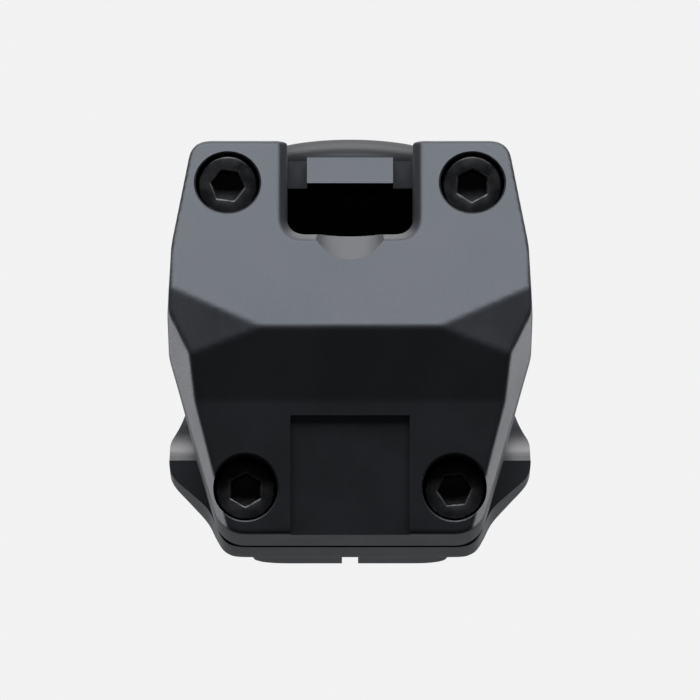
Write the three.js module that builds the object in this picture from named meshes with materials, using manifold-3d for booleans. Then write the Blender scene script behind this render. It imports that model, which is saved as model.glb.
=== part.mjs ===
// Handlebar stem with a four-bolt faceplate, for a 31.8 mm bar and a 28.6 mm steerer.
// Millimetres. The origin is on the steerer axis at the bottom face of the steerer clamp,
// +Z runs up the steerer and -Y runs forward to the bar, whose axis lies along X.

import * as THREE from 'three';
import { mergeVertices } from 'three/addons/utils/BufferGeometryUtils.js';
import Module from 'manifold-3d';

const wasm = await Module();
wasm.setup();

// Main layout
const STEM_LENGTH = 50;
const CLAMP_HEIGHT = 42;
const BAR_Z = CLAMP_HEIGHT / 2;
const STEERER_BORE_R = 14.35;
const BAR_BORE_R = 15.95;

// Bar clamp
const HALF_WIDTH = 26;
const HALF_HEIGHT = 28.5;
const SPLIT_GAP = 1.8;
const BLOCK_DEPTH = 13;

// Steerer clamp and its rear lugs
const BARREL_HALF_WIDTH = 19.2;
const LUG_HALF_WIDTH = 15;
const LUG_REAR = 27;
const SLIT_WIDTH = 2.4;
const PINCH_Y = 20.5;
const PINCH_RISE = 11.5;
const PINCH_SEAT = 8;
const SCALLOP_R = 8.5;
const SCALLOP_Y = 31.5;

// Faceplate front surfaces, as heights from the bar axis and distances ahead of it
const RIDGE_AHEAD = 22.5;
const RIDGE_HALF_WIDTH = 12.6;
const UPPER_SLOPE = 0.351;
const UNDERCUT_SLOPE = 0.45;
const UNDERCUT_DROP = 10;
const LOWER_SLOPE = 0.25;
const SIDE_SWEEP = 0.164;

// Notch in the top of the faceplate, and the hollow of the body behind it
const NOTCH_HALF_WIDTH = 9;
const NOTCH_FLOOR = 14.3;
const NOTCH_CORNER_R = 2.5;
const SCOOP_R = 8.1;
const SCOOP_TILT = THREE.MathUtils.degToRad(40);
const SCOOP_LOW = 10.2;
const HOLLOW_HALF_WIDTH = 10;
const BRIDGE_HALF_WIDTH = 6.2;
const BRIDGE_BOTTOM = 24.5;
const BRIDGE_GROOVE_DEPTH = 5;

// Shallow channel between the lower bolt bosses
const CHANNEL_HALF_WIDTH = 8.5;
const CHANNEL_TOP = -12;
const CHANNEL_DEPTH = 0.9;

// M5 clamp screws
const FACE_BOLT_RISE = 22;
const FACE_BOLT_X_UPPER = 17.5;
const FACE_BOLT_X_LOWER = 14.9;
const FACE_SEAT_AHEAD = 6.5;
const FACE_THREAD_DEPTH = 12.6;
const M5_SHANK_R = 2.5;
const M5_HOLE_R = 2.8;
const M5_HEAD_R = 4.25;
const M5_HEAD_HEIGHT = 5;
const M5_LENGTH = 20;
const M5_KEY_ACROSS_FLATS = 4;
const M5_COUNTERBORE_R = 4.6;
const WASHER_R = 4.3;
const WASHER_THICKNESS = 1;
const SEAT_GAP = 0.3;

// Spacers, top cap, M6 preload screw and star nut
const SPACER_R = 17;
const SPACER_BORE_R = 14.45;
const SPACER_HEIGHT = 5;
const STACK_GAP = 0.1;
const CAP_R = 16.5;
const CAP_HEIGHT = 6.4;
const CAP_RIM = 2;
const CAP_SEAT = 2;
const CAP_HOLE_R = 3.4;
const CAP_COUNTERBORE_R = 5.6;
const CAP_SPIGOT_R = 12.3;
const CAP_SPIGOT_DEPTH = 1.2;
const CAP_SPIGOT_WALL = 2;
const M6_SHANK_R = 3;
const M6_HEAD_R = 5;
const M6_HEAD_HEIGHT = 4;
const M6_LENGTH = 30;
const M6_KEY_ACROSS_FLATS = 5;
const STAR_NUT_TOP = 35;
const STAR_NUT_LENGTH = 8;
const STAR_NECK_R = 4.4;
const STAR_NECK_LENGTH = 2;
const STAR_HEX_R = 6.3;
const STAR_BORE_R = 3.3;
const STAR_SPRING_R = 12.6;
const STAR_SPRING_BORE_R = 4.7;
const STAR_SPRING_THICKNESS = 1;
const STAR_SPRING_DISH = 1.6;
const STAR_FINGERS = 8;
const STAR_SLOT_WIDTH = 2.4;
const STAR_SLOT_ROOT_R = 8;

const CURVE_STEPS = 5;
const EXTRA = 1;

const finishes = {
  anodised: { color: 0x1d1e21, roughness: 0.5, metalness: 0.75 },
  blackOxide: { color: 0x0d0d0e, roughness: 0.38, metalness: 0.85 },
  zinc: { color: 0x8d8e90, roughness: 0.42, metalness: 0.9 },
};

const stem = new THREE.Group();

function addPart(name, geometry, finish, parent = stem) {
  const mesh = new THREE.Mesh(geometry, new THREE.MeshStandardMaterial(finishes[finish]));
  mesh.name = name;
  parent.add(mesh);
  return mesh;
}

// Closed geometry to a solid for joining and cutting, and back again.
function solid(geometry) {
  geometry.deleteAttribute('normal');
  geometry.deleteAttribute('uv');
  const merged = mergeVertices(geometry);
  return new wasm.Manifold(new wasm.Mesh({
    numProp: 3,
    vertProperties: new Float32Array(merged.attributes.position.array),
    triVerts: new Uint32Array(merged.index.array),
  }));
}

function toGeometry(body) {
  const mesh = body.getMesh();
  const geometry = new THREE.BufferGeometry();
  geometry.setAttribute('position', new THREE.BufferAttribute(mesh.vertProperties, 3));
  geometry.setIndex(new THREE.BufferAttribute(mesh.triVerts, 1));
  geometry.computeVertexNormals();
  return geometry;
}

// Outline through corners [u, v, fillet radius], each fillet a curve tangent to both sides.
function outline(corners) {
  const points = corners.map(([u, v]) => new THREE.Vector2(u, v));
  const shape = new THREE.Shape();
  corners.forEach(([u, v, radius = 0], i) => {
    const before = points.at(i - 1).clone().sub(points[i]).normalize();
    const after = points[(i + 1) % points.length].clone().sub(points[i]).normalize();
    const setback = radius / Math.tan(Math.acos(before.dot(after)) / 2);
    const start = before.multiplyScalar(setback).add(points[i]);
    const end = after.multiplyScalar(setback).add(points[i]);
    if (i === 0) shape.moveTo(start.x, start.y);
    else shape.lineTo(start.x, start.y);
    if (radius > 0) shape.quadraticCurveTo(u, v, end.x, end.y);
  });
  return shape;
}

function mirrored(rightHalf) {
  const leftHalf = rightHalf.map(([u, v, radius]) => [-u, v, radius]);
  return outline([...rightHalf, ...leftHalf.reverse()]);
}

function extruded(shape, length) {
  const options = { depth: length, bevelEnabled: false, curveSegments: CURVE_STEPS };
  return new THREE.ExtrudeGeometry(shape, options);
}

// Prism of a plan outline drawn in x and y.
function upright(shape, bottom, top) {
  return solid(extruded(shape, top - bottom).translate(0, 0, bottom));
}

// Prism of a front outline drawn in x and height from the bar axis.
function frontToBack(shape, frontY, backY) {
  const geometry = extruded(shape, backY - frontY).rotateX(Math.PI / 2);
  return solid(geometry.translate(0, backY, BAR_Z));
}

// Prism of a side outline drawn in y and height from the bar axis, from -x to +x.
function sideToSide(shape, halfWidth) {
  const sideways = new THREE.Matrix4().makeBasis(
    new THREE.Vector3(0, 1, 0),
    new THREE.Vector3(0, 0, 1),
    new THREE.Vector3(1, 0, 0),
  );
  const geometry = extruded(shape, 2 * halfWidth).applyMatrix4(sideways);
  return solid(geometry.translate(-halfWidth, 0, BAR_Z));
}

function rod(radius, from, to, sides = 28) {
  const start = new THREE.Vector3(...from);
  const run = new THREE.Vector3(...to).sub(start);
  const geometry = new THREE.CylinderGeometry(radius, radius, run.length(), sides);
  geometry.translate(0, run.length() / 2, 0);
  const up = new THREE.Vector3(0, 1, 0);
  geometry.applyQuaternion(new THREE.Quaternion().setFromUnitVectors(up, run.normalize()));
  return solid(geometry.translate(...from));
}

function box(low, high) {
  const size = high.map((value, i) => value - low[i]);
  const centre = high.map((value, i) => (value + low[i]) / 2);
  return solid(new THREE.BoxGeometry(...size).translate(...centre));
}

// Turned piece about Z. The profile is [radius, z], from the bottom outwards and up: all the
// way round the section of a ring, or from axis to axis on a piece without a bore.
function turned(profile, sides = 40) {
  const hasBore = profile[0][0] > 0;
  const section = hasBore ? [...profile, profile[0]] : profile;
  const points = section.map(([radius, z]) => new THREE.Vector2(radius, z));
  return solid(new THREE.LatheGeometry(points, sides).rotateX(Math.PI / 2));
}

function ahead(distance) {
  return -STEM_LENGTH - distance;
}

function upperFacet(height) {
  return RIDGE_AHEAD - UPPER_SLOPE * height;
}

function lowerFacet(height) {
  return RIDGE_AHEAD - UNDERCUT_SLOPE * UNDERCUT_DROP + LOWER_SLOPE * (height + UNDERCUT_DROP);
}

const barBore = rod(
  BAR_BORE_R,
  [-HALF_WIDTH - EXTRA, -STEM_LENGTH, BAR_Z],
  [HALF_WIDTH + EXTRA, -STEM_LENGTH, BAR_Z],
  64,
);

// Where the four faceplate screws sit.
const faceBolts = [
  { name: 'upper_left', x: -FACE_BOLT_X_UPPER, z: BAR_Z + FACE_BOLT_RISE },
  { name: 'upper_right', x: FACE_BOLT_X_UPPER, z: BAR_Z + FACE_BOLT_RISE },
  { name: 'lower_left', x: -FACE_BOLT_X_LOWER, z: BAR_Z - FACE_BOLT_RISE },
  { name: 'lower_right', x: FACE_BOLT_X_LOWER, z: BAR_Z - FACE_BOLT_RISE },
];

// Where the two steerer clamp screws sit. They enter from opposite sides.
const pinchBolts = [
  { name: 'upper', side: 1, z: BAR_Z + PINCH_RISE },
  { name: 'lower', side: -1, z: BAR_Z - PINCH_RISE },
];

// Stem body: a forging that is wide at the bar, narrows to a neck and swells again round the
// steerer. One plan outline, trimmed to a side outline and a front outline.
const splitY = -STEM_LENGTH + SPLIT_GAP / 2;
const blockRear = -STEM_LENGTH + BLOCK_DEPTH;
const bodyPlan = mirrored([
  [HALF_WIDTH + EXTRA, splitY, 0],
  [HALF_WIDTH + EXTRA, -41, 4],
  [16, -23, 14],
  [BARREL_HALF_WIDTH, -8, 10],
  [BARREL_HALF_WIDTH, 8, 10],
  [LUG_HALF_WIDTH, 16, 8],
  [LUG_HALF_WIDTH, LUG_REAR, 6],
]);
const bodySide = outline([
  [splitY, HALF_HEIGHT, 0],
  [blockRear, HALF_HEIGHT, 6],
  [-19, BAR_Z, 10],
  [LUG_REAR + EXTRA, BAR_Z, 0],
  [LUG_REAR + EXTRA, -BAR_Z, 0],
  [-19, -BAR_Z, 10],
  [blockRear, -HALF_HEIGHT, 6],
  [splitY, -HALF_HEIGHT, 0],
]);
const bodyFront = mirrored([
  [22.6, HALF_HEIGHT, 3],
  [25.5, 12.5, 12],
  [HALF_WIDTH, 0, 12],
  [HALF_WIDTH, -18, 2.5],
  [20.2, -23, 3],
  [18, -HALF_HEIGHT, 3],
]);
const hollowSide = outline([
  [splitY - EXTRA, BRIDGE_BOTTOM, 0],
  [-39, BRIDGE_BOTTOM, 5],
  [-19.5, 15.5, 4],
  [-19.5, -15.5, 4],
  [-39, -BRIDGE_BOTTOM, 5],
  [splitY - EXTRA, -BRIDGE_BOTTOM, 0],
]);

let body = upright(bodyPlan, BAR_Z - HALF_HEIGHT, BAR_Z + HALF_HEIGHT)
  .intersect(sideToSide(bodySide, HALF_WIDTH + EXTRA))
  .intersect(frontToBack(bodyFront, splitY, LUG_REAR + EXTRA))
  .subtract(rod(STEERER_BORE_R, [0, 0, -EXTRA], [0, 0, CLAMP_HEIGHT + EXTRA], 64))
  .subtract(barBore)
  .subtract(sideToSide(hollowSide, HOLLOW_HALF_WIDTH));

// Grooves either side of the tab on the bridge that closes the top of the hollow.
for (const side of [-1, 1]) {
  const edges = [side * BRIDGE_HALF_WIDTH, side * NOTCH_HALF_WIDTH].sort((a, b) => a - b);
  body = body.subtract(box(
    [edges[0], splitY - EXTRA, BAR_Z + BRIDGE_BOTTOM - EXTRA],
    [edges[1], splitY + BRIDGE_GROOVE_DEPTH, BAR_Z + HALF_HEIGHT + EXTRA],
  ));
}

// Threaded holes for the faceplate screws, at the screws' clearance size.
for (const { x, z } of faceBolts) {
  const holeEnd = splitY + FACE_THREAD_DEPTH;
  body = body.subtract(rod(M5_HOLE_R, [x, splitY - EXTRA, z], [x, holeEnd, z], 20));
}

// Rear slit, the scallop between the lugs, and the two cross holes with counterbores.
const slitLow = [-SLIT_WIDTH / 2, 10, -EXTRA];
const slitHigh = [SLIT_WIDTH / 2, LUG_REAR + EXTRA, CLAMP_HEIGHT + EXTRA];
const scallopEnd = LUG_HALF_WIDTH + EXTRA;
body = body
  .subtract(box(slitLow, slitHigh))
  .subtract(rod(SCALLOP_R, [-scallopEnd, SCALLOP_Y, BAR_Z], [scallopEnd, SCALLOP_Y, BAR_Z], 40));
for (const { side, z } of pinchBolts) {
  const outside = side * (LUG_HALF_WIDTH + 4);
  body = body
    .subtract(rod(M5_HOLE_R, [-outside, PINCH_Y, z], [outside, PINCH_Y, z], 20))
    .subtract(rod(M5_COUNTERBORE_R, [side * PINCH_SEAT, PINCH_Y, z], [outside, PINCH_Y, z]));
}
addPart('stem_body', toGeometry(body), 'anodised');

// Faceplate: a flat upper facet leans back from the ridge, the lower half is undercut, and
// the sides sweep back from a flat middle.
const plateFront = mirrored([
  [22.6, HALF_HEIGHT, 3],
  [25.5, 12.5, 12],
  [HALF_WIDTH, 2, 12],
  [25.8, -3.5, 6],
  [18.4, -HALF_HEIGHT, 4.5],
]);
const plateSide = outline([
  [ahead(SPLIT_GAP / 2), HALF_HEIGHT],
  [ahead(upperFacet(HALF_HEIGHT)), HALF_HEIGHT],
  [ahead(RIDGE_AHEAD), 0],
  [ahead(lowerFacet(-UNDERCUT_DROP)), -UNDERCUT_DROP],
  [ahead(lowerFacet(-HALF_HEIGHT)), -HALF_HEIGHT],
  [ahead(SPLIT_GAP / 2), -HALF_HEIGHT],
]);
const sideAhead = RIDGE_AHEAD - SIDE_SWEEP * (HALF_WIDTH + EXTRA - RIDGE_HALF_WIDTH);
const platePlan = mirrored([
  [HALF_WIDTH + EXTRA, ahead(0)],
  [HALF_WIDTH + EXTRA, ahead(sideAhead)],
  [RIDGE_HALF_WIDTH, ahead(RIDGE_AHEAD)],
]);
const notch = mirrored([
  [NOTCH_HALF_WIDTH, HALF_HEIGHT + EXTRA, 0],
  [NOTCH_HALF_WIDTH, NOTCH_FLOOR, NOTCH_CORNER_R],
]);
const channelSide = outline([
  [ahead(lowerFacet(CHANNEL_TOP)), CHANNEL_TOP],
  [ahead(RIDGE_AHEAD), CHANNEL_TOP],
  [ahead(RIDGE_AHEAD), -HALF_HEIGHT - EXTRA],
  [ahead(lowerFacet(-HALF_HEIGHT - EXTRA) - CHANNEL_DEPTH), -HALF_HEIGHT - EXTRA],
  [ahead(lowerFacet(CHANNEL_TOP) - CHANNEL_DEPTH), CHANNEL_TOP - 2 * CHANNEL_DEPTH],
]);

// The scoop is a round trough that runs forward and down through the notch's floor.
const scoopCentre = [
  0,
  ahead(upperFacet(SCOOP_LOW)) - SCOOP_R * Math.sin(SCOOP_TILT),
  BAR_Z + SCOOP_LOW + SCOOP_R * Math.cos(SCOOP_TILT),
];
const scoopRun = [0, 12 * Math.cos(SCOOP_TILT), 12 * Math.sin(SCOOP_TILT)];

let plate = frontToBack(plateFront, ahead(RIDGE_AHEAD + EXTRA), ahead(SPLIT_GAP / 2))
  .intersect(sideToSide(plateSide, HALF_WIDTH + EXTRA))
  .intersect(upright(platePlan, BAR_Z - HALF_HEIGHT - EXTRA, BAR_Z + HALF_HEIGHT + EXTRA))
  .subtract(barBore)
  .subtract(frontToBack(notch, ahead(RIDGE_AHEAD + EXTRA), -STEM_LENGTH))
  .subtract(sideToSide(channelSide, CHANNEL_HALF_WIDTH))
  .subtract(rod(
    SCOOP_R,
    scoopCentre.map((value, i) => value - scoopRun[i]),
    scoopCentre.map((value, i) => value + scoopRun[i]),
    64,
  ));
for (const { x, z } of faceBolts) {
  const front = ahead(RIDGE_AHEAD + EXTRA);
  plate = plate
    .subtract(rod(M5_HOLE_R, [x, front, z], [x, -STEM_LENGTH, z], 20))
    .subtract(rod(M5_COUNTERBORE_R, [x, front, z], [x, ahead(FACE_SEAT_AHEAD), z]));
}
addPart('faceplate', toGeometry(plate), 'anodised');

// Socket-head screw with its head above z = 0 and its shank below.
function socketScrew(shankR, headR, headHeight, length, keyAcrossFlats) {
  const chamfer = 0.4;
  const profile = [
    [0, -length],
    [shankR - 2 * chamfer, -length],
    [shankR, -length + 2 * chamfer],
    [shankR, 0],
    [headR, 0],
    [headR, headHeight - chamfer],
    [headR - chamfer, headHeight],
    [0, headHeight],
  ];
  const keyDepth = 0.6 * headHeight;
  const keyR = keyAcrossFlats / Math.sqrt(3);
  const key = rod(keyR, [0, 0, headHeight - keyDepth], [0, 0, headHeight + EXTRA], 6);
  return toGeometry(turned(profile, 24).subtract(key));
}

function ring(outerR, boreR, bottom, top, sides) {
  const section = [[boreR, bottom], [outerR, bottom], [outerR, top], [boreR, top]];
  return toGeometry(turned(section, sides));
}

// Each clamp screw and its washer stand on their seat, with the head facing outwards.
function addScrewSet(name, seat, outward) {
  const up = new THREE.Vector3(0, 0, 1);
  const place = new THREE.Group();
  place.position.set(...seat);
  place.quaternion.setFromUnitVectors(up, new THREE.Vector3(...outward));
  stem.add(place);
  const washer = ring(WASHER_R, M5_HOLE_R, SEAT_GAP, SEAT_GAP + WASHER_THICKNESS, 24);
  addPart(`${name}_washer`, washer, 'zinc', place);
  const screw = socketScrew(M5_SHANK_R, M5_HEAD_R, M5_HEAD_HEIGHT, M5_LENGTH, M5_KEY_ACROSS_FLATS);
  screw.translate(0, 0, 2 * SEAT_GAP + WASHER_THICKNESS);
  addPart(`${name}_bolt`, screw, 'blackOxide', place);
}

for (const { name, x, z } of faceBolts) {
  addScrewSet(`face_${name}`, [x, ahead(FACE_SEAT_AHEAD), z], [0, -1, 0]);
}
for (const { name, side, z } of pinchBolts) {
  addScrewSet(`pinch_${name}`, [side * PINCH_SEAT, PINCH_Y, z], [side, 0, 0]);
}

// Two spacers between the steerer clamp and the top cap.
['spacer_lower', 'spacer_upper'].forEach((name, i) => {
  const bottom = CLAMP_HEIGHT + STACK_GAP + i * (SPACER_HEIGHT + STACK_GAP);
  const geometry = ring(SPACER_R, SPACER_BORE_R, bottom, bottom + SPACER_HEIGHT, 48);
  addPart(name, geometry, 'anodised');
});

// Top cap: a shallow dome with a recess for the screw head and a spigot below.
const capBottom = CLAMP_HEIGHT + 3 * STACK_GAP + 2 * SPACER_HEIGHT;
const capTop = capBottom + CAP_HEIGHT;
const capSeat = capBottom + CAP_SEAT;
const domeWidth = CAP_R - CAP_COUNTERBORE_R;
const domeDrop = CAP_HEIGHT - CAP_RIM;
const dome = Array.from({ length: CURVE_STEPS + 1 }, (_, i) => {
  const angle = (i / CURVE_STEPS) * (Math.PI / 2);
  return [CAP_R - domeWidth * (1 - Math.cos(angle)), capBottom + CAP_RIM + domeDrop * Math.sin(angle)];
});
const cap = turned([
  [CAP_HOLE_R, capBottom],
  [CAP_SPIGOT_R - CAP_SPIGOT_WALL, capBottom],
  [CAP_SPIGOT_R - CAP_SPIGOT_WALL, capBottom - CAP_SPIGOT_DEPTH],
  [CAP_SPIGOT_R, capBottom - CAP_SPIGOT_DEPTH],
  [CAP_SPIGOT_R, capBottom],
  [CAP_R - 0.4, capBottom],
  [CAP_R, capBottom + 0.4],
  ...dome,
  [CAP_COUNTERBORE_R, capSeat],
  [CAP_HOLE_R, capSeat],
], 48);
addPart('top_cap', toGeometry(cap), 'anodised');

const preloadScrew = socketScrew(M6_SHANK_R, M6_HEAD_R, M6_HEAD_HEIGHT, M6_LENGTH, M6_KEY_ACROSS_FLATS);
addPart('top_cap_bolt', preloadScrew.translate(0, 0, capSeat + SEAT_GAP), 'blackOxide');

// Star nut: a hexagonal threaded sleeve with a dished spring star peened on each neck.
const sleeveBottom = STAR_NUT_TOP - STAR_NUT_LENGTH;
const hexBottom = sleeveBottom + STAR_NECK_LENGTH;
const hexTop = STAR_NUT_TOP - STAR_NECK_LENGTH;
const sleeve = rod(STAR_NECK_R, [0, 0, sleeveBottom], [0, 0, STAR_NUT_TOP])
  .add(rod(STAR_HEX_R, [0, 0, hexBottom], [0, 0, hexTop], 6))
  .subtract(rod(STAR_BORE_R, [0, 0, sleeveBottom - EXTRA], [0, 0, STAR_NUT_TOP + EXTRA]));
addPart('star_nut_sleeve', toGeometry(sleeve), 'zinc');

function starSpring(seatZ) {
  const flatR = STAR_HEX_R + 0.5;
  let star = turned([
    [STAR_SPRING_BORE_R, seatZ],
    [flatR, seatZ],
    [STAR_SPRING_R, seatZ + STAR_SPRING_DISH],
    [STAR_SPRING_R, seatZ + STAR_SPRING_DISH + STAR_SPRING_THICKNESS],
    [flatR, seatZ + STAR_SPRING_THICKNESS],
    [STAR_SPRING_BORE_R, seatZ + STAR_SPRING_THICKNESS],
  ], 32);
  for (let i = 0; i < STAR_FINGERS; i += 1) {
    const angle = (i / STAR_FINGERS) * 2 * Math.PI;
    const slot = new THREE.BoxGeometry(STAR_SPRING_R, STAR_SLOT_WIDTH, 4 * STAR_SPRING_DISH);
    slot.translate(STAR_SLOT_ROOT_R + STAR_SPRING_R / 2, 0, seatZ).rotateZ(angle);
    star = star.subtract(solid(slot));
  }
  return toGeometry(star);
}
addPart('star_nut_spring_upper', starSpring(hexTop + STACK_GAP), 'zinc');
addPart('star_nut_spring_lower', starSpring(hexBottom - STACK_GAP - STAR_SPRING_THICKNESS), 'zinc');

export default stem;
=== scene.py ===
# Handlebar stem: the visible pieces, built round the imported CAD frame. The studio is in metres.
# Pieces are in millimetres while they are made, and each is scaled to metres when it is finished.
import math

import bmesh
import bpy
from mathutils import Matrix, Vector, geometry


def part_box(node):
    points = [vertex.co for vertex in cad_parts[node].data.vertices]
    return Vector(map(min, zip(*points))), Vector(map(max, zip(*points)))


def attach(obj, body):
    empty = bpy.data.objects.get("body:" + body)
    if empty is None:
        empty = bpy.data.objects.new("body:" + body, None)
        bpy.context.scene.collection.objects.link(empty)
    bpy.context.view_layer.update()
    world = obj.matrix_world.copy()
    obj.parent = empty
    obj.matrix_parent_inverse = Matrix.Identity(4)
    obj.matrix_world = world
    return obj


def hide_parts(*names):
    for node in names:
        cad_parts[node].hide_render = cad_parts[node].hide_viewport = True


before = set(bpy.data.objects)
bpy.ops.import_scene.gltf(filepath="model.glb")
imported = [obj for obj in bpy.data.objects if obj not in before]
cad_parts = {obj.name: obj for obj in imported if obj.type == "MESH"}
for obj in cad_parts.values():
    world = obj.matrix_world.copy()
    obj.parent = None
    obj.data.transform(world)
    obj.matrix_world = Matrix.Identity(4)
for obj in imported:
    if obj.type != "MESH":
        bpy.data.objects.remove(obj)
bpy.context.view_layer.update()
MM = 0.001

# ---------------------------------------------------------------------------------------------
# Studio. A pale floor well below the stem and a pale surround. One large soft light hangs overhead
# and in front, a smaller one above and behind, and one stands low behind each side. Reflections
# see darker surroundings than the camera does, so that faces turned to the viewer stay dark.

bpy.context.scene.view_settings.view_transform = "Standard"

camera_data = bpy.data.cameras.new("camera")
camera_data.lens = 640
camera_data.sensor_width = 36
camera_data.clip_end = 50
camera = bpy.data.objects.new("camera", camera_data)
bpy.context.scene.collection.objects.link(camera)
bpy.context.scene.camera = camera
aim = Vector((0, -0.040, 0.0225))
camera_tilt = math.radians(8.5)
camera_distance = 1.8
away = Vector((0, -math.cos(camera_tilt), -math.sin(camera_tilt)))
camera.location = aim + away * camera_distance
camera.rotation_euler = (-away).to_track_quat("-Z", "Y").to_euler()


def studio_surround(seen_by_camera, reflected_ahead, reflected_behind):
    """Sky that the camera sees as a plain pale colour, and that reflections see as a gradient."""
    world = bpy.data.worlds.new("studio_surround")
    bpy.context.scene.world = world
    world.use_nodes = True
    nodes, links = world.node_tree.nodes, world.node_tree.links
    nodes.clear()
    output = nodes.new("ShaderNodeOutputWorld")
    pale = nodes.new("ShaderNodeBackground")
    pale.inputs["Color"].default_value = (*seen_by_camera, 1)
    soft = nodes.new("ShaderNodeBackground")
    ray = nodes.new("ShaderNodeLightPath")
    choose = nodes.new("ShaderNodeMixShader")
    direction = nodes.new("ShaderNodeTexCoord")
    parts = nodes.new("ShaderNodeSeparateXYZ")
    depth = nodes.new("ShaderNodeMapRange")
    depth.interpolation_type = "SMOOTHSTEP"
    depth.inputs["From Min"].default_value = -0.5
    depth.inputs["From Max"].default_value = 0.5
    blend = nodes.new("ShaderNodeMix")
    blend.data_type = "RGBA"
    blend.inputs["A"].default_value = (*reflected_ahead, 1)
    blend.inputs["B"].default_value = (*reflected_behind, 1)
    links.new(direction.outputs["Generated"], parts.inputs["Vector"])
    links.new(parts.outputs["Y"], depth.inputs["Value"])
    links.new(depth.outputs["Result"], blend.inputs["Factor"])
    links.new(blend.outputs["Result"], soft.inputs["Color"])
    links.new(ray.outputs["Is Camera Ray"], choose.inputs["Fac"])
    links.new(soft.outputs["Background"], choose.inputs[1])
    links.new(pale.outputs["Background"], choose.inputs[2])
    links.new(choose.outputs["Shader"], output.inputs["Surface"])


studio_surround((0.89, 0.89, 0.895), (0.035, 0.036, 0.04), (0.6, 0.61, 0.63))


def soft_light(name, towards, distance, width, height, power, colour):
    """Rectangular soft light that faces the stem from the given direction, in metres."""
    data = bpy.data.lights.new(name, "AREA")
    data.shape = "RECTANGLE"
    data.size = width
    data.size_y = height
    data.energy = power
    data.color = colour
    lamp = bpy.data.objects.new(name, data)
    bpy.context.scene.collection.objects.link(lamp)
    heading = Vector(towards).normalized()
    lamp.location = aim + heading * distance
    lamp.rotation_euler = (-heading).to_track_quat("-Z", "Y").to_euler()


white = (1.0, 1.0, 1.0)
cool_white = (0.91, 0.96, 1.0)
soft_light("overhead_soft", (0, -0.60, 0.80), 1.3, 1.5, 0.8, 41, cool_white)
soft_light("back_top_soft", (0, 0.40, 0.92), 1.3, 1.2, 0.6, 12, white)
soft_light("left_soft", (-1.0, 0.34, -0.14), 1.1, 0.4, 0.5, 9, white)
soft_light("right_soft", (1.0, 0.34, -0.14), 1.1, 0.4, 0.5, 9, white)

floor_drop = 0.36
floor_mesh = bmesh.new()
bmesh.ops.create_grid(floor_mesh, x_segments=1, y_segments=1, size=12)
bmesh.ops.translate(floor_mesh, vec=(0, 0, -floor_drop), verts=floor_mesh.verts)
floor_data = bpy.data.meshes.new("floor")
floor_mesh.to_mesh(floor_data)
floor_mesh.free()
floor = bpy.data.objects.new("floor", floor_data)
bpy.context.scene.collection.objects.link(floor)


def floor_finish():
    """Pale matt floor. Reflections see it dimmer, as if black card lay round the camera."""
    material = bpy.data.materials.new("floor_pale")
    material.use_nodes = True
    nodes, links = material.node_tree.nodes, material.node_tree.links
    shader = nodes["Principled BSDF"]
    shader.inputs["Roughness"].default_value = 0.9
    ray = nodes.new("ShaderNodeLightPath")
    place = nodes.new("ShaderNodeTexCoord")
    parts = nodes.new("ShaderNodeSeparateXYZ")
    depth = nodes.new("ShaderNodeMapRange")
    card_reach = 1.6
    depth.inputs["From Min"].default_value = -card_reach
    depth.inputs["From Max"].default_value = card_reach
    card = nodes.new("ShaderNodeValToRGB")
    tones = [(0, 0.09), (0.36, 0.018), (0.5, 0.025), (0.8, 0.3)]
    while len(card.color_ramp.elements) < len(tones):
        card.color_ramp.elements.new(0.5)
    for stop, (position, grey) in zip(card.color_ramp.elements, tones):
        stop.position = position
        stop.color = (grey, grey, grey * 1.05, 1)
    tone = nodes.new("ShaderNodeMix")
    tone.data_type = "RGBA"
    tone.inputs["B"].default_value = (0.30, 0.30, 0.305, 1)
    shader.inputs["Emission Color"].default_value = (0.62, 0.62, 0.625, 1)
    links.new(ray.outputs["Is Camera Ray"], shader.inputs["Emission Strength"])
    links.new(place.outputs["Object"], parts.inputs["Vector"])
    links.new(parts.outputs["Y"], depth.inputs["Value"])
    links.new(depth.outputs["Result"], card.inputs["Fac"])
    links.new(card.outputs["Color"], tone.inputs["A"])
    links.new(ray.outputs["Is Camera Ray"], tone.inputs["Factor"])
    links.new(tone.outputs["Result"], shader.inputs["Base Color"])
    return material


floor_data.materials.append(floor_finish())

# ---------------------------------------------------------------------------------------------
# Stem body. A hollow aluminium forging, bead blasted and anodised satin black, with machined
# bores, a slit and pinch bolt lugs behind the steerer. The block in front takes the faceplate.

plate_low, plate_high = (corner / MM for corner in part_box("faceplate"))
body_low, body_high = (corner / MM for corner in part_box("stem_body"))
bar_y = (plate_high.y + body_low.y) / 2
bar_z = (body_low.z + body_high.z) / 2
half_width = body_high.x
half_height = (body_high.z - body_low.z) / 2
split_y = body_low.y
lug_rear = body_high.y
clamp_top = (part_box("spacer_lower")[0].z / MM) - 0.1
clamp_half = clamp_top / 2
steerer_r = 14.35
bar_r = 15.95
tapped_r = 2.65
counterbore_r = 4.6
beyond = 40
below_all, above_all = -20, 70


def rounded(corners, steps=8):
    """Points of a closed outline through corners (u, v, rounding length)."""
    places = [Vector(corner[:2]) for corner in corners]
    points = []
    for i, corner in enumerate(corners):
        before = (places[i - 1] - places[i]).normalized()
        after = (places[(i + 1) % len(places)] - places[i]).normalized()
        if corner[2] == 0:
            points.append(places[i])
            continue
        setback = corner[2] / math.tan(before.angle(after) / 2)
        start = places[i] + before * setback
        end = places[i] + after * setback
        curve = geometry.interpolate_bezier(
            start.to_3d(),
            start.lerp(places[i], 0.6).to_3d(),
            end.lerp(places[i], 0.6).to_3d(),
            end.to_3d(),
            steps + 1,
        )
        points.extend(point.to_2d() for point in curve)
    return points


def both_sides(right_half):
    left_half = [(-u, v, radius) for u, v, radius in reversed(right_half)]
    return rounded(right_half + left_half)


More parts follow.
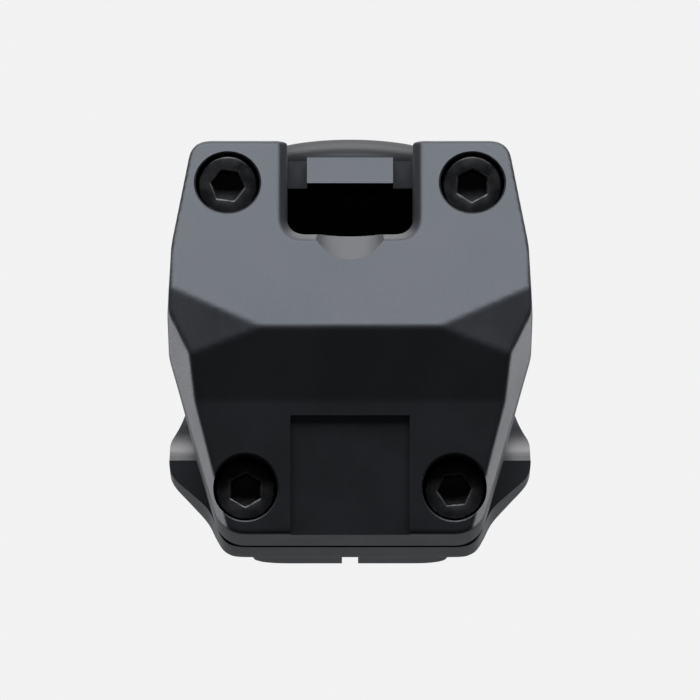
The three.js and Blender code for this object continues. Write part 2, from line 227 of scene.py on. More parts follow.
def prism(points, place, run):
    """Closed prism: the outline's points put in space by place, and pulled along run."""
    mesh = bmesh.new()
    face = mesh.faces.new([mesh.verts.new(place(*point)) for point in points])
    pulled = bmesh.ops.extrude_face_region(mesh, geom=[face])
    moved = [item for item in pulled["geom"] if isinstance(item, bmesh.types.BMVert)]
    bmesh.ops.translate(mesh, vec=run, verts=moved)
    bmesh.ops.recalc_face_normals(mesh, faces=mesh.faces)
    return mesh


def plan_prism(points, bottom, top):
    return prism(points, lambda x, y: (x, y, bottom), (0, 0, top - bottom))


def front_prism(points, front, back):
    return prism(points, lambda x, rise: (x, front, bar_z + rise), (0, back - front, 0))


def side_prism(points, reach):
    return prism(points, lambda y, rise: (-reach, y, bar_z + rise), (2 * reach, 0, 0))


def rod(radius, start, end, steps=48):
    """Closed cylinder between two points."""
    start, end = Vector(start), Vector(end)
    run = end - start
    turn = Vector((0, 0, 1)).rotation_difference(run).to_matrix().to_4x4()
    mesh = bmesh.new()
    bmesh.ops.create_cone(
        mesh,
        cap_ends=True,
        segments=steps,
        radius1=radius,
        radius2=radius,
        depth=run.length,
        matrix=Matrix.Translation((start + end) / 2) @ turn,
    )
    return mesh


def block(low, high):
    mesh = bmesh.new()
    bmesh.ops.create_cube(mesh, size=1)
    bmesh.ops.scale(mesh, vec=Vector(high) - Vector(low), verts=mesh.verts)
    bmesh.ops.translate(mesh, vec=(Vector(high) + Vector(low)) / 2, verts=mesh.verts)
    return mesh


def as_object(mesh, name):
    data = bpy.data.meshes.new(name)
    mesh.to_mesh(data)
    mesh.free()
    obj = bpy.data.objects.new(name, data)
    bpy.context.scene.collection.objects.link(obj)
    return obj


def shaped(mesh, tools, operation="DIFFERENCE"):
    """Cuts the mesh with each tool in turn, or trims it to each, or joins them to it."""
    blank = as_object(mesh, "blank")
    for tool_mesh in tools:
        tool = as_object(tool_mesh, "tool")
        step = blank.modifiers.new("step", "BOOLEAN")
        step.operation = operation
        step.solver = "MANIFOLD"
        step.object = tool
        graph = bpy.context.evaluated_depsgraph_get()
        result = bpy.data.meshes.new_from_object(blank.evaluated_get(graph))
        blank.modifiers.clear()
        blank.data = result
        bpy.data.objects.remove(tool)
    made = bmesh.new()
    made.from_mesh(blank.data)
    bpy.data.objects.remove(blank)
    bmesh.ops.remove_doubles(made, verts=made.verts, dist=0.02)
    return made


def softened(mesh, width, steps, wanted=lambda middle: True, sharper_than=20):
    """Rounds each wanted edge that turns by more than the given degrees, and marks its faces for a
    painted highlight.
    """
    highlight_edge_mark = mesh.faces.layers.float.get("highlight_edge_mark") or mesh.faces.layers.float.new("highlight_edge_mark")
    limit = math.radians(sharper_than)
    edges = [
        edge
        for edge in mesh.edges
        if edge.is_manifold
        and edge.calc_face_angle(0) > limit
        and wanted((edge.verts[0].co + edge.verts[1].co) / 2)
    ]
    made = bmesh.ops.bevel(
        mesh,
        geom=edges,
        offset=width,
        offset_type="OFFSET",
        affect="EDGES",
        segments=steps,
        profile=0.5,
        clamp_overlap=False,
        material=-1,
    )
    # The new rounded faces are marked to take the painted edge highlight.
    for face in made["faces"]:
        face[highlight_edge_mark] = 1.0
    bmesh.ops.remove_doubles(mesh, verts=mesh.verts, dist=0.004)
    return mesh


def forged(mesh, grid, passes, flat_within):
    """Even skin of small faces, smoothed until its edges have the forging's radius."""
    blank = as_object(mesh, "blank")
    skin = blank.modifiers.new("skin", "REMESH")
    skin.mode = "VOXEL"
    skin.voxel_size = grid
    graph = bpy.context.evaluated_depsgraph_get()
    made = bmesh.new()
    made.from_mesh(blank.evaluated_get(graph).to_mesh())
    bpy.data.objects.remove(blank)
    for _ in range(passes):
        bmesh.ops.smooth_vert(
            made,
            verts=made.verts,
            factor=0.5,
            use_axis_x=True,
            use_axis_y=True,
            use_axis_z=True,
        )
    bmesh.ops.dissolve_limit(
        made, angle_limit=math.radians(flat_within), verts=made.verts, edges=made.edges
    )
    return made


def bored(mesh, centre, axis, radius, within=0.04):
    """Gives the second finish to the faces that lie on a bore of this axis and radius."""
    for face in mesh.faces:
        reach = [(vert.co - Vector(centre)).cross(Vector(axis)).length for vert in face.verts]
        if max(abs(length - radius) for length in reach) < within:
            face.material_index = 1


def finished(mesh, name, materials):
    """Smooth-shaded piece in metres, with true flats and creases where two of them meet."""
    flat_area = 8
    crease_at_flat, crease_elsewhere = math.radians(3), math.radians(32)
    bmesh.ops.recalc_face_normals(mesh, faces=mesh.faces)
    for face in mesh.faces:
        if face.calc_area() > flat_area:
            level, facing = face.calc_center_median(), face.normal.copy()
            for vert in face.verts:
                vert.co -= facing * facing.dot(vert.co - level)
    for face in mesh.faces:
        face.smooth = True
    for edge in mesh.edges:
        beside_flat = max(face.calc_area() for face in edge.link_faces) > flat_area
        edge.smooth = edge.calc_face_angle(0) < (
            crease_at_flat if beside_flat else crease_elsewhere
        )
    bmesh.ops.triangulate(mesh, faces=[face for face in mesh.faces if len(face.verts) > 4])
    bmesh.ops.scale(mesh, vec=(MM, MM, MM), verts=mesh.verts)
    piece = as_object(mesh, name)
    weighted = piece.modifiers.new("flat_facets", "WEIGHTED_NORMAL")
    weighted.mode = "FACE_AREA"
    weighted.weight = 100
    weighted.keep_sharp = True
    for material in materials:
        piece.data.materials.append(material)
    return piece


def group_tree(name, inputs, outputs):
    """Empty shader node group with float inputs {name: value} and named float outputs."""
    tree = bpy.data.node_groups.new(name, "ShaderNodeTree")
    for label, value in inputs.items():
        socket = tree.interface.new_socket(label, in_out="INPUT", socket_type="NodeSocketFloat")
        socket.default_value = value
    for label in outputs:
        tree.interface.new_socket(label, in_out="OUTPUT", socket_type="NodeSocketFloat")
    return tree, tree.nodes.new("NodeGroupInput"), tree.nodes.new("NodeGroupOutput")


def noise(tree, scale, detail, roughness):
    """Noise on the piece's own coordinates. Its scale is a number or an output."""
    place = tree.nodes.new("ShaderNodeTexCoord")
    texture = tree.nodes.new("ShaderNodeTexNoise")
    texture.inputs["Detail"].default_value = detail
    texture.inputs["Roughness"].default_value = roughness
    tree.links.new(place.outputs["Object"], texture.inputs["Vector"])
    if isinstance(scale, (int, float)):
        texture.inputs["Scale"].default_value = scale
    else:
        tree.links.new(scale, texture.inputs["Scale"])
    return texture.outputs["Fac"]


def arithmetic(tree, operation, *values):
    """One sum on values that are numbers or outputs."""
    node = tree.nodes.new("ShaderNodeMath")
    node.operation = operation
    for socket, value in zip(node.inputs, values):
        if isinstance(value, (int, float)):
            socket.default_value = value
        else:
            tree.links.new(value, socket)
    return node.outputs["Value"]


def blasted_surface():
    """Bead blasting: fine grain as a height, and soft cloudy patches as a mask."""
    tree, given, result = group_tree(
        "bead_blasting",
        {"Grain per metre": 3200, "Patches per metre": 120},
        ["Grain", "Patches"],
    )
    grain = noise(tree, given.outputs["Grain per metre"], 4, 0.62)
    patches = noise(tree, given.outputs["Patches per metre"], 3, 0.55)
    spread = tree.nodes.new("ShaderNodeMapRange")
    spread.interpolation_type = "SMOOTHSTEP"
    spread.inputs["From Min"].default_value = 0.3
    spread.inputs["From Max"].default_value = 0.7
    tree.links.new(patches, spread.inputs["Value"])
    tree.links.new(grain, result.inputs["Grain"])
    tree.links.new(spread.outputs["Result"], result.inputs["Patches"])
    return tree


def painted_edge_highlight():
    """Painted highlight on rounded edges, broken up by noise, as a mask."""
    tree, given, result = group_tree("painted_edge_highlight", {"Amount": 0.4}, ["Mask"])
    corner = tree.nodes.new("ShaderNodeAttribute")
    corner.attribute_name = "highlight_edge_mark"
    broken = noise(tree, 900, 5, 0.65)
    spread = tree.nodes.new("ShaderNodeMapRange")
    spread.inputs["From Min"].default_value = 0.38
    spread.inputs["From Max"].default_value = 0.68
    tree.links.new(broken, spread.inputs["Value"])
    # Marked rounded faces, broken up by noise, carry the painted edge highlight.
    painted_highlight = arithmetic(tree, "MULTIPLY", corner.outputs["Fac"], spread.outputs["Result"])
    scaled = arithmetic(tree, "MULTIPLY", painted_highlight, given.outputs["Amount"])
    tree.links.new(scaled, result.inputs["Mask"])
    return tree


def tool_lines():
    """Marks left by a cutting tool: fine uneven lines that cross the chosen direction."""
    tree = bpy.data.node_groups.new("tool_lines", "ShaderNodeTree")
    across = tree.interface.new_socket(
        "Across", in_out="INPUT", socket_type="NodeSocketVector"
    )
    across.default_value = (0, 0, 1)
    tree.interface.new_socket("Height", in_out="OUTPUT", socket_type="NodeSocketFloat")
    given = tree.nodes.new("NodeGroupInput")
    result = tree.nodes.new("NodeGroupOutput")
    place = tree.nodes.new("ShaderNodeTexCoord")
    measure = tree.nodes.new("ShaderNodeVectorMath")
    measure.operation = "DOT_PRODUCT"
    tree.links.new(place.outputs["Object"], measure.inputs[0])
    tree.links.new(given.outputs["Across"], measure.inputs[1])
    lines = tree.nodes.new("ShaderNodeTexNoise")
    lines.noise_dimensions = "1D"
    lines.inputs["Scale"].default_value = 5200
    lines.inputs["Detail"].default_value = 2
    tree.links.new(measure.outputs["Value"], lines.inputs["W"])
    tree.links.new(lines.outputs["Fac"], result.inputs["Height"])
    return tree


blasting = blasted_surface()
edge_highlight_group = painted_edge_highlight()
cutter_marks = tool_lines()


def placed(tree, group, **values):
    """Places a shared effect in a material, with its own values for the named inputs."""
    node = tree.nodes.new("ShaderNodeGroup")
    node.node_tree = group
    for label, value in values.items():
        node.inputs[label.replace("_", " ")].default_value = value
    return node


def colour_blend(tree, mask, first, second):
    """Colour between two, by a mask. Either colour may be an output."""
    node = tree.nodes.new("ShaderNodeMix")
    node.data_type = "RGBA"
    tree.links.new(mask, node.inputs["Factor"])
    for label, value in (("A", first), ("B", second)):
        if isinstance(value, tuple):
            node.inputs[label].default_value = (*value, 1)
        else:
            tree.links.new(value, node.inputs[label])
    return node.outputs["Result"]


def value_between(tree, mask, low, high):
    node = tree.nodes.new("ShaderNodeMapRange")
    node.inputs["To Min"].default_value = low
    node.inputs["To Max"].default_value = high
    tree.links.new(mask, node.inputs["Value"])
    return node.outputs["Result"]


def bumped(tree, shader, height, depth, strength):
    bump = tree.nodes.new("ShaderNodeBump")
    bump.inputs["Distance"].default_value = depth
    bump.inputs["Strength"].default_value = strength
    tree.links.new(height, bump.inputs["Height"])
    tree.links.new(bump.outputs["Normal"], shader.inputs["Normal"])


def new_finish(name, metallic, specular=0.5):
    material = bpy.data.materials.new(name)
    material.use_nodes = True
    shader = material.node_tree.nodes["Principled BSDF"]
    shader.inputs["Metallic"].default_value = metallic
    shader.inputs["Specular IOR Level"].default_value = specular
    return material, material.node_tree, shader


def blasted_black(name, deep, pale, painted_highlight, highlight_amount, roughness, grain_depth):
    """Satin black anodising over bead-blasted aluminium, with a painted highlight on marked
    rounded edges.
    """
    material, tree, shader = new_finish(name, 0.72)
    surface = placed(tree, blasting)
    corners = placed(tree, edge_highlight_group, Amount=highlight_amount)
    dye = colour_blend(tree, surface.outputs["Patches"], deep, pale)
    # Marked rounded edges are lightened towards a painted highlight colour.
    colour = colour_blend(tree, corners.outputs["Mask"], dye, painted_highlight)
    gloss = value_between(tree, surface.outputs["Patches"], *roughness)
    tree.links.new(colour, shader.inputs["Base Color"])
    tree.links.new(gloss, shader.inputs["Roughness"])
    bumped(tree, shader, surface.outputs["Grain"], grain_depth, 0.5)
    return material


def machined_black(name, across, colour_pair, roughness, metallic=0.8, specular=0.5):
    """Black anodising over a machined surface, with the cutter's marks under it and a painted
    highlight on rounded edges.
    """
    material, tree, shader = new_finish(name, metallic, specular)
    marks = placed(tree, cutter_marks, Across=across)
    corners = placed(tree, edge_highlight_group, Amount=0.25)
    dye = colour_blend(tree, marks.outputs["Height"], *colour_pair)
    # Rounded edges are lightened as a painted highlight.
    colour = colour_blend(tree, corners.outputs["Mask"], dye, (0.10, 0.10, 0.105))
    gloss = value_between(tree, marks.outputs["Height"], *roughness)
    tree.links.new(colour, shader.inputs["Base Color"])
    tree.links.new(gloss, shader.inputs["Roughness"])
    bumped(tree, shader, marks.outputs["Height"], 0.00002, 0.45)
    return material


forged_black = blasted_black(
    "blasted_anodised_body",
    (0.029, 0.030, 0.033),
    (0.033, 0.034, 0.038),
    # Painted highlight colour for the rounded edges.
    (0.085, 0.086, 0.09),
    0.35,
    (0.46, 0.5),
    0.00003,
)
bore_tones = ((0.018, 0.018, 0.020), (0.034, 0.034, 0.037))
bore_gloss = (0.26, 0.4)
bored_black = machined_black("bored_anodised_body", (0, 0, 1), bore_tones, bore_gloss)

neck_half_width = 16
clamp_half_width = 19.2
lug_half_width = 15
neck_front = bar_y + 13
neck_rear = -19
body_plan = both_sides([
    (half_width + 1, split_y - 4, 0),
    (half_width + 1, bar_y + 9, 4),
    (neck_half_width, bar_y + 27, 14),
    (clamp_half_width, -8, 10),
    (clamp_half_width, 8, 10),
    (lug_half_width, 16, 8),
    (lug_half_width, lug_rear, 6),
])
body_side = rounded([
    (split_y - 4, half_height, 0),
    (neck_front, half_height, 6),
    (neck_rear, clamp_half, 10),
    (lug_rear + 2, clamp_half, 0),
    (lug_rear + 2, -clamp_half, 0),
    (neck_rear, -clamp_half, 10),
    (neck_front, -half_height, 6),
    (split_y - 4, -half_height, 0),
])
crown = [(22.6, half_height, 3), (25.5, 12.5, 12)]
body_front = both_sides(crown + [
    (half_width, 0, 12),
    (half_width, -18, 2.5),
    (20.2, -23, 3),
    (18, -half_height, 3),
])
forging = shaped(
    side_prism(body_side, half_width + 2),
    [
        plan_prism(body_plan, body_low.z - 1, body_high.z + 1),
        front_prism(body_front, split_y - 5, lug_rear + 3),
    ],
    "INTERSECT",
)
forging = forged(forging, grid=0.6, passes=9, flat_within=0.12)

hollow_half_width = 10
hollow_front, hollow_rear = bar_y + 11, -19.5
front_rise, rear_rise = 24.5, 15.5
hollow_side = rounded([
    (split_y - 9, front_rise, 0),
    (hollow_front, front_rise, 5),
    (hollow_rear, rear_rise, 4),
    (hollow_rear, -rear_rise, 4),
    (hollow_front, -front_rise, 5),
    (split_y - 9, -front_rise, 0),
])
face_bolt_rise = 22
face_bolt_x = {"upper": 17.5, "lower": 14.9}
face_holes = [
    (side * face_bolt_x[row], bar_z + rise * face_bolt_rise)
    for row, rise in (("upper", 1), ("lower", -1))
    for side in (-1, 1)
]
pinch_y = 20.5
pinch_seat = 8
pinch_rise = 11.5
pinch_rows = {"upper": (1, bar_z + pinch_rise), "lower": (-1, bar_z - pinch_rise)}
past_lug = 25
slit_half = 1.2
relief_r, relief_y = 8.5, 31.5
groove_near, groove_far, groove_floor = 6.2, 9, 23.5
tab_foot, tab_half_width = 24, 7.5
thread_depth = 12.6
bar_axis = ((-beyond, bar_y, bar_z), (beyond, bar_y, bar_z))
cuts = [
    block((-beyond, split_y - 20, below_all), (beyond, split_y, above_all)),
    rod(steerer_r, (0, 0, -3), (0, 0, clamp_top + 3), 96),
    rod(bar_r, *bar_axis, 128),
    side_prism(hollow_side, hollow_half_width),
    block((-slit_half, 9, -3), (slit_half, lug_rear + 3, clamp_top + 3)),
    rod(relief_r, (-past_lug, relief_y, bar_z), (past_lug, relief_y, bar_z), 64),
]
for side in (-1, 1):
    left, right = sorted((side * groove_near, side * groove_far))
    cuts.append(block(
        (left, split_y - 3, bar_z + groove_floor), (right, split_y + 5, bar_z + 33)
    ))
tab_slope = rounded([
    (split_y - 4, tab_foot, 0),
    (split_y - 0.1, tab_foot, 0),
    (split_y + 2.1, half_height + 1, 0),
    (split_y - 4, half_height + 1, 0),
])
cuts.append(side_prism(tab_slope, tab_half_width))
for x, z in face_holes:
    cuts.append(rod(tapped_r, (x, split_y - 3, z), (x, split_y + thread_depth, z), 40))
for side, z in pinch_rows.values():
    cuts.append(rod(tapped_r, (-past_lug, pinch_y, z), (past_lug, pinch_y, z), 40))
    seat = (side * pinch_seat, pinch_y, z)
    cuts.append(rod(counterbore_r, seat, (side * past_lug, pinch_y, z), 64))
forging = shaped(forging, cuts)
bored(forging, bar_axis[0], (1, 0, 0), bar_r)
bored(forging, (0, 0, 0), (0, 0, 1), steerer_r)
body_piece = finished(forging, "body", [forged_black, bored_black])
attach(body_piece, "stem")
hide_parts("stem_body")

# ---------------------------------------------------------------------------------------------
# Faceplate. The forged cap that holds the bar, of the same blasted and anodised aluminium. Its
# notch, scoop, channel and bolt seats are milled, and it is held on by the four front screws.

ridge_y = plate_low.y
ridge_half_width = 12.6
plate_rear = plate_high.y
upper_slope, undercut_slope, lower_slope = 0.351, 0.45, 0.25
undercut_foot = -10
sweep = 0.164


def upper_facet(rise):
    return ridge_y + upper_slope * rise


def lower_facet(rise):
    return ridge_y - undercut_slope * undercut_foot - lower_slope * (rise - undercut_foot)


plate_side = rounded([
    (plate_rear + 4, half_height, 0),
    (upper_facet(half_height), half_height, 0),
    (ridge_y, 0, 0),
    (lower_facet(undercut_foot), undercut_foot, 0),
    (lower_facet(-half_height), -half_height, 0),
    (plate_rear + 4, -half_height, 0),
])
plate_front = both_sides(crown + [
    (half_width, 2, 12),
    (25.8, -3.5, 6),
    (18.4, -half_height, 4.5),
])
swept_y = ridge_y + sweep * (half_width + 1 - ridge_half_width)
plate_plan = both_sides([
    (half_width + 1, plate_rear + 5, 0),
    (half_width + 1, swept_y, 0),
    (ridge_half_width, ridge_y, 0),
])
plate = shaped(
    side_prism(plate_side, half_width + 2),
    [
        front_prism(plate_front, ridge_y - 2, plate_rear + 3),
        plan_prism(plate_plan, plate_low.z - 2, plate_high.z + 2),
    ],
    "INTERSECT",
)
flank_rise = -3.5
flank_cuts = []
for side in (-1, 1):
    flank = block((0, -30, -40), (30, 30, 40))
    facing = Vector((side * 0.8, -0.56, -0.35))
    tilt = Vector((1, 0, 0)).rotation_difference(facing).to_matrix()
    bmesh.ops.rotate(flank, cent=(0, 0, 0), matrix=tilt, verts=flank.verts)
    corner = (side * 25.1, lower_facet(flank_rise) + sweep * 12.5, bar_z + flank_rise)
    bmesh.ops.translate(flank, vec=corner, verts=flank.verts)
    flank_cuts.append(flank)
notch_floor = 14.3
notch_half_width = 9
border = 1.6
notch_top = half_height + 4
notch = both_sides([(notch_half_width, notch_top, 0), (notch_half_width, notch_floor, 2.5)])
notch_mouth = both_sides([
    (notch_half_width + border, notch_top, 0),
    (notch_half_width + border, notch_floor - border, 3.6),
])


def border_cutter(facet, *outlines):
    """Tapered cutter for a slanted facet, from a wide outline before it to one inside it."""
    mesh = bmesh.new()
    for points, depth in outlines:
        mesh.faces.new([
            mesh.verts.new((x, facet(rise) + depth, bar_z + rise)) for x, rise in points
        ])
    bmesh.ops.bridge_loops(mesh, edges=mesh.edges[:])
    bmesh.ops.recalc_face_normals(mesh, faces=mesh.faces)
    return mesh


channel_top, channel_end = -12, -half_height - 3
channel_depth = 0.9
channel_half_width = 8.5
channel_side = rounded([
    (lower_facet(channel_top) + channel_depth, channel_top, 0),
    (ridge_y - 2, channel_top, 0),
    (ridge_y - 2, channel_end, 0),
    (lower_facet(channel_end) + channel_depth, channel_end, 0),
])
plate = shaped(plate, flank_cuts + [
    front_prism(notch, ridge_y - 3, plate_rear + 5),
    border_cutter(upper_facet, (notch_mouth, -0.5), (notch, 1.1)),
])
plate = forged(plate, grid=0.3, passes=4, flat_within=0.4)

scoop_tilt = math.radians(40)
scoop_r = 8.1
scoop_rise = 10.2
scoop_reach = Vector((0, math.cos(scoop_tilt), math.sin(scoop_tilt))) * 12
scoop_middle = Vector((
    0,
    upper_facet(scoop_rise) - scoop_r * math.sin(scoop_tilt),
    bar_z + scoop_rise + scoop_r * math.cos(scoop_tilt),
))
clearance_r = 2.8
seat_y = ridge_y + 16
cuts = [
    block((-beyond, plate_rear, below_all), (beyond, plate_rear + 20, above_all)),
    rod(bar_r, *bar_axis, 128),
    side_prism(channel_side, channel_half_width),
    rod(scoop_r, scoop_middle - scoop_reach, scoop_middle + scoop_reach, 96),
]


def screw_mouth(x, rise, radius, steps=72):
    """Round outline of a screw's mouth, as (x, rise) points."""
    turns = [step * math.pi / (steps / 2) for step in range(steps)]
    return [(x + radius * math.cos(turn), rise + radius * math.sin(turn)) for turn in turns]


for x, z in face_holes:
    cuts.append(rod(clearance_r, (x, ridge_y - 3, z), (x, plate_rear + 3, z), 40))
    cuts.append(rod(counterbore_r, (x, ridge_y - 3, z), (x, seat_y, z), 72))
    cuts.append(border_cutter(
        upper_facet if z > bar_z else lower_facet,
        (screw_mouth(x, z - bar_z, counterbore_r + 0.35), -0.12),
        (screw_mouth(x, z - bar_z, counterbore_r - 0.05), 0.28),
    ))
plate = shaped(plate, cuts)
bored(plate, bar_axis[0], (1, 0, 0), bar_r)
forged_plate_black = blasted_black(
    "blasted_anodised_faceplate",
    (0.030, 0.031, 0.034),
    (0.034, 0.035, 0.039),
    # Painted highlight colour for the rounded edges.
    (0.09, 0.091, 0.095),
    0.4,
    (0.45, 0.49),
    0.00003,
)
bored_plate_black = machined_black(
    "bored_anodised_faceplate", (1, 0, 0), bore_tones, bore_gloss
)
plate_piece = finished(plate, "front_plate", [forged_plate_black, bored_plate_black])
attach(plate_piece, "front_clamp")
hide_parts("faceplate")

# ---------------------------------------------------------------------------------------------
# Clamp screws and washers. Four M5 socket-head screws hold the faceplate and two more close the
# steerer clamp. They are rolled steel, knurled round the head and finished in black oxide.


def oiled_steel(name):
    """Black oxide: nearly black, a little uneven, with an oily gloss and a painted highlight on
    rounded edges.
    """
    material, tree, shader = new_finish(name, 0.85)
    surface = placed(tree, blasting, Grain_per_metre=5200, Patches_per_metre=420)
    corners = placed(tree, edge_highlight_group, Amount=0.5)
    dye = colour_blend(
        tree, surface.outputs["Patches"], (0.016, 0.016, 0.017), (0.028, 0.027, 0.028)
    )
    # Rounded edges are lightened as a painted highlight.
    colour = colour_blend(tree, corners.outputs["Mask"], dye, (0.12, 0.115, 0.11))
    gloss = value_between(tree, surface.outputs["Patches"], 0.32, 0.44)
    tree.links.new(colour, shader.inputs["Base Color"])
    tree.links.new(gloss, shader.inputs["Roughness"])
    bumped(tree, shader, surface.outputs["Grain"], 0.00001, 0.35)
    return material


screw_steel = oiled_steel("black_oxide_screws")
washer_steel = oiled_steel("black_oxide_washers")


def spun(profile, steps=96):
    """Turned piece about Z from (radius, z) points, closed if its first radius isn't 0."""
    mesh = bmesh.new()
    verts = [mesh.verts.new((radius, 0, z)) for radius, z in profile]
    edges = [mesh.edges.new(pair) for pair in zip(verts, verts[1:])]
    if profile[0][0] > 0:
        edges.append(mesh.edges.new((verts[-1], verts[0])))
    bmesh.ops.spin(
        mesh,
        geom=verts + edges,
        cent=(0, 0, 0),
        axis=(0, 0, 1),
        angle=2 * math.pi,
        steps=steps,
        use_merge=True,
    )
    bmesh.ops.remove_doubles(mesh, verts=mesh.verts, dist=0.001)
    bmesh.ops.recalc_face_normals(mesh, faces=mesh.faces)
    return mesh


def stretch_radius(vert, factor):
    vert.co.x *= factor
    vert.co.y *= factor


def socket_screw(shank_r, head_r, head_height, length, key_flats, pitch):
    """Socket-head screw with its head above z = 0, knurled, and its thread below."""
    columns = 80
    plain = 1.6
    tip = 1
    row_gap = pitch / 4
    rows = int((length - plain - tip) / row_gap)
    thread = [(shank_r, -length + tip + row * row_gap) for row in range(rows)]
    mesh = spun(
        [(0, -length), (shank_r - 0.7, -length)]
        + thread
        + [
            (shank_r, 0),
            (head_r - 0.1, 0),
            (head_r, 0.25),
            (head_r, 0.8),
            (head_r, 1.0),
            (head_r, head_height - 1.1),
            (head_r, head_height - 0.9),
            (head_r, head_height),
            (0, head_height),
        ],
        columns,
    )
    key_floor = head_height * 0.42
    key = rod(key_flats / math.sqrt(3), (0, 0, key_floor), (0, 0, head_height + 2), 6)
    mesh = shaped(mesh, [key])
    softened(mesh, 0.35, 4, lambda middle: middle.z > head_height - 0.05, 40)
    floor_faces = [
        face
        for face in mesh.faces
        if face.normal.z > 0.9 and abs(face.calc_center_median().z - key_floor) < 0.05
    ]
    poked = bmesh.ops.poke(mesh, faces=floor_faces)
    bmesh.ops.translate(mesh, vec=(0, 0, -0.45), verts=poked["verts"])
    knurl_depth, thread_share = 0.11, 0.52
    for vert in mesh.verts:
        radius = vert.co.xy.length
        column = math.atan2(vert.co.y, vert.co.x) / (2 * math.pi)
        knurled = 0.95 < vert.co.z < head_height - 1.05
        if knurled and abs(radius - head_r) < 0.01 and round(column * columns) % 2:
            stretch_radius(vert, 1 - knurl_depth / head_r)
        if -length + 0.9 < vert.co.z < -plain + 0.05 and abs(radius - shank_r) < 0.01:
            turn = (vert.co.z / pitch - column) % 1
            stretch_radius(vert, 1 - thread_share * pitch * abs(2 * turn - 1) / shank_r)
    return mesh


def seated(mesh, seat, outward, turned_to):
    """Stands a screw or washer, made upright at the origin, on its seat."""
    outward = Vector(outward)
    upright = Vector((0, 0, 1)).rotation_difference(outward).to_matrix().to_4x4()
    spin = Matrix.Rotation(turned_to, 4, "Z")
    bmesh.ops.transform(
        mesh, matrix=Matrix.Translation(seat) @ upright @ spin, verts=mesh.verts
    )
    return mesh


washer_thickness = 1
washer_bore_r, washer_r = 2.65, 4.3
contact = 0.02


def screw_set(seat, outward, turned_to, screw_body, washer_body, place_name):
    """A washer on its seat and an M5 screw on the washer, each riding on its own body."""
    lift = Vector(outward)
    washer = spun([
        (washer_bore_r, 0.1),
        (2.75, 0),
        (4.15, 0),
        (washer_r, 0.15),
        (washer_r, washer_thickness - 0.2),
        (4.1, washer_thickness),
        (2.75, washer_thickness),
        (washer_bore_r, washer_thickness - 0.1),
    ])
    washer = seated(washer, Vector(seat) + lift * contact, outward, 0)
    washer_piece = finished(washer, place_name + "_washer_ring", [washer_steel])
    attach(washer_piece, washer_body)
    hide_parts(place_name + "_washer")
    screw = socket_screw(
        shank_r=2.5, head_r=4.25, head_height=5, length=20, key_flats=4, pitch=0.8
    )
    screw = seated(
        screw, Vector(seat) + lift * (washer_thickness + 2 * contact), outward, turned_to
    )
    screw_piece = finished(screw, place_name + "_screw", [screw_steel])
    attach(screw_piece, screw_body)
    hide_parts(place_name + "_bolt")


for row, rise in (("upper", 1), ("lower", -1)):
    for hand, side in (("left", -1), ("right", 1)):
        screw_set(
            (side * face_bolt_x[row], seat_y, bar_z + rise * face_bolt_rise),
            (0, -1, 0),
            0.5 + 0.31 * side + 0.2 * rise,
            f"{row}_{hand}_screw",
            "front_clamp",
            f"face_{row}_{hand}",
        )
for row, (side, z) in pinch_rows.items():
    screw_set(
        (side * pinch_seat, pinch_y, z),
        (side, 0, 0),
        0.4 * side,
        f"{row}_pinch_screw",
        f"{row}_pinch_seat",
        f"pinch_{row}",
    )

# ---------------------------------------------------------------------------------------------
# Spacers. Two plain rings between the clamp and the top cap, turned from aluminium tube with
# small chamfers, and anodised black. They only stack on the steerer.

turned_black = machined_black(
    "turned_anodised", (0, 0, 1), ((0.024, 0.024, 0.026), (0.040, 0.040, 0.044)), (0.3, 0.42)
)
spacer_bore_r = 14.45
for name in ("spacer_lower", "spacer_upper"):
    low, high = (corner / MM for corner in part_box(name))
    ring = spun(
        [
            (spacer_bore_r, low.z),
            (high.x, low.z),
            (high.x, high.z),
            (spacer_bore_r, high.z),
        ],
        128,
    )
    ring = softened(ring, 0.4, 3, sharper_than=60)
    ring_piece = finished(ring, name + "_ring", [turned_black])
    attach(ring_piece, "stem")
    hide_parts(name)

# ---------------------------------------------------------------------------------------------
# Top cap. A turned, domed aluminium cap with a round recess for the preload screw's head and a
# spigot below that centres it in the steerer. It is held down by the preload screw.

cap_low, cap_high = (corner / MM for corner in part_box("top_cap"))
cap_base = cap_low.z + 1.2
cap_seat = cap_base + 2
cap_r = cap_high.x
cap_bore_r = 3.4
spigot_inner_r, spigot_outer_r = 10.3, 12.3
recess_r = 5.6
dome_from = cap_base + 2
dome_steps = 12
dome = [
    (
        recess_r + 0.2 + (cap_r - recess_r - 0.2) * math.cos(step * math.pi / 2 / dome_steps),
        dome_from + (cap_high.z - dome_from) * math.sin(step * math.pi / 2 / dome_steps),
    )
    for step in range(dome_steps + 1)
]
cap = spun(
    [
        (cap_bore_r, cap_base),
        (spigot_inner_r, cap_base),
        (spigot_inner_r, cap_low.z),
        (spigot_outer_r, cap_low.z),
        (spigot_outer_r, cap_base),
        (cap_r, cap_base),
    ]
    + dome
    + [(recess_r, cap_high.z), (recess_r, cap_seat), (cap_bore_r, cap_seat)],
    128,
)
cap = softened(cap, 0.3, 3, sharper_than=50)
cap_black = machined_black(
    "turned_anodised_cap",
    (0, 0, 1),
    ((0.009, 0.009, 0.010), (0.015, 0.015, 0.016)),
    (0.4, 0.5),
    metallic=0.3,
    specular=0.15,
)
cap_piece = finished(cap, "cap_dome", [cap_black])
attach(cap_piece, "cap")
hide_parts("top_cap")

# ---------------------------------------------------------------------------------------------
# Preload screw. One M6 socket-head screw of black oxide steel, which draws the cap down
# against the star nut in the steerer.

preload = socket_screw(
    shank_r=3, head_r=5, head_height=4, length=30, key_flats=5, pitch=1.0
)
preload = seated(preload, (0, 0, cap_seat + contact), (0, 0, 1), turned_to=0.26)
preload_piece = finished(preload, "preload_screw", [screw_steel])
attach(preload_piece, "cap_screw")
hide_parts("top_cap_bolt")

# ---------------------------------------------------------------------------------------------
# Star nut. A threaded hexagonal sleeve with a dished spring star peened on each of its necks,
# zinc plated steel. It is driven into the steerer, where the springs' fingers bite.


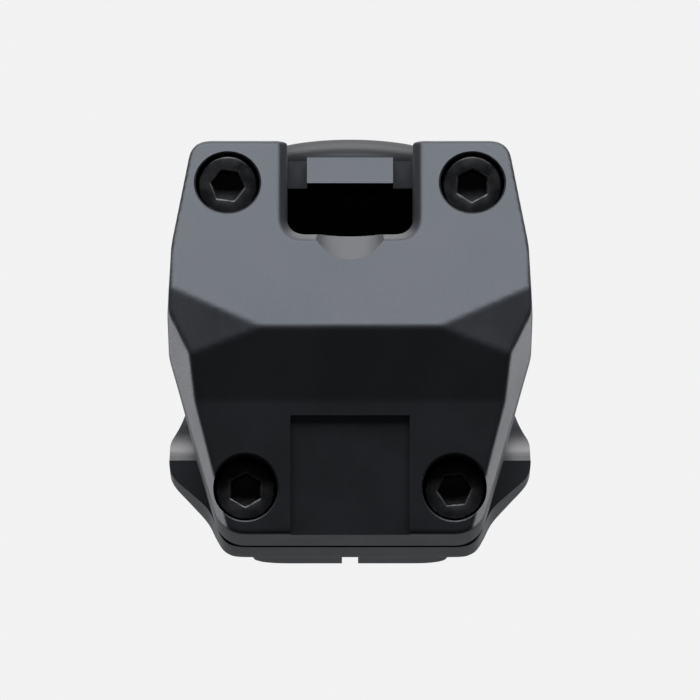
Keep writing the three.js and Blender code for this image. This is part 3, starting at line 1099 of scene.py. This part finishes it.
def plated_zinc():
    """Bright zinc with a fine spangle, duller patches and a painted highlight on rounded edges."""
    material, tree, shader = new_finish("zinc_plate", 0.95)
    surface = placed(tree, blasting, Grain_per_metre=2600, Patches_per_metre=700)
    corners = placed(tree, edge_highlight_group, Amount=0.5)
    plate_tone = colour_blend(
        tree, surface.outputs["Patches"], (0.42, 0.43, 0.44), (0.56, 0.57, 0.57)
    )
    # Rounded edges are lightened as a painted highlight.
    colour = colour_blend(tree, corners.outputs["Mask"], plate_tone, (0.7, 0.7, 0.69))
    gloss = value_between(tree, surface.outputs["Patches"], 0.3, 0.46)
    tree.links.new(colour, shader.inputs["Base Color"])
    tree.links.new(gloss, shader.inputs["Roughness"])
    bumped(tree, shader, surface.outputs["Grain"], 0.00001, 0.4)
    return material


zinc = plated_zinc()
sleeve_low, sleeve_high = (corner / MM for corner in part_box("star_nut_sleeve"))
neck_r, neck_length = 4.4, 2
sleeve_bore_r = 3.05
hex_r = sleeve_high.x
hex_low, hex_high = sleeve_low.z + neck_length, sleeve_high.z - neck_length
sleeve = rod(neck_r, (0, 0, sleeve_low.z), (0, 0, sleeve_high.z), 64)
sleeve = shaped(sleeve, [rod(hex_r, (0, 0, hex_low), (0, 0, hex_high), 6)], "UNION")
bore = rod(sleeve_bore_r, (0, 0, sleeve_low.z - 2), (0, 0, sleeve_high.z + 2), 64)
sleeve = shaped(sleeve, [bore])
sleeve = softened(sleeve, 0.25, 3, sharper_than=35)
sleeve_piece = finished(sleeve, "star_nut_hexagon", [zinc])
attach(sleeve_piece, "stem")
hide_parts("star_nut_sleeve")
spring_bore_r, spring_bend_r = 4.5, 6.8
spring_sheet = 1
fingers = 8
slot_root, slot_half = 8, 1.2
for name in ("star_nut_spring_upper", "star_nut_spring_lower"):
    low, high = (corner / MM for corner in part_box(name))
    section = [
        (spring_bore_r, low.z),
        (spring_bend_r, low.z),
        (high.x, high.z - spring_sheet),
        (high.x, high.z),
        (spring_bend_r, low.z + spring_sheet),
        (spring_bore_r, low.z + spring_sheet),
    ]
    slots = []
    for finger in range(fingers):
        slot = block((slot_root, -slot_half, low.z - 3), (20, slot_half, high.z + 3))
        turn = Matrix.Rotation(finger * 2 * math.pi / fingers, 3, "Z")
        bmesh.ops.rotate(slot, cent=(0, 0, 0), matrix=turn, verts=slot.verts)
        root_low = turn @ Vector((slot_root, 0, low.z - 3))
        root_high = turn @ Vector((slot_root, 0, high.z + 3))
        slots.extend([slot, rod(slot_half, root_low, root_high, 24)])
    star = shaped(spun(section), slots)
    star = softened(star, 0.12, 2, sharper_than=45)
    star_piece = finished(star, name + "_star", [zinc])
    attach(star_piece, "stem")
    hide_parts(name)
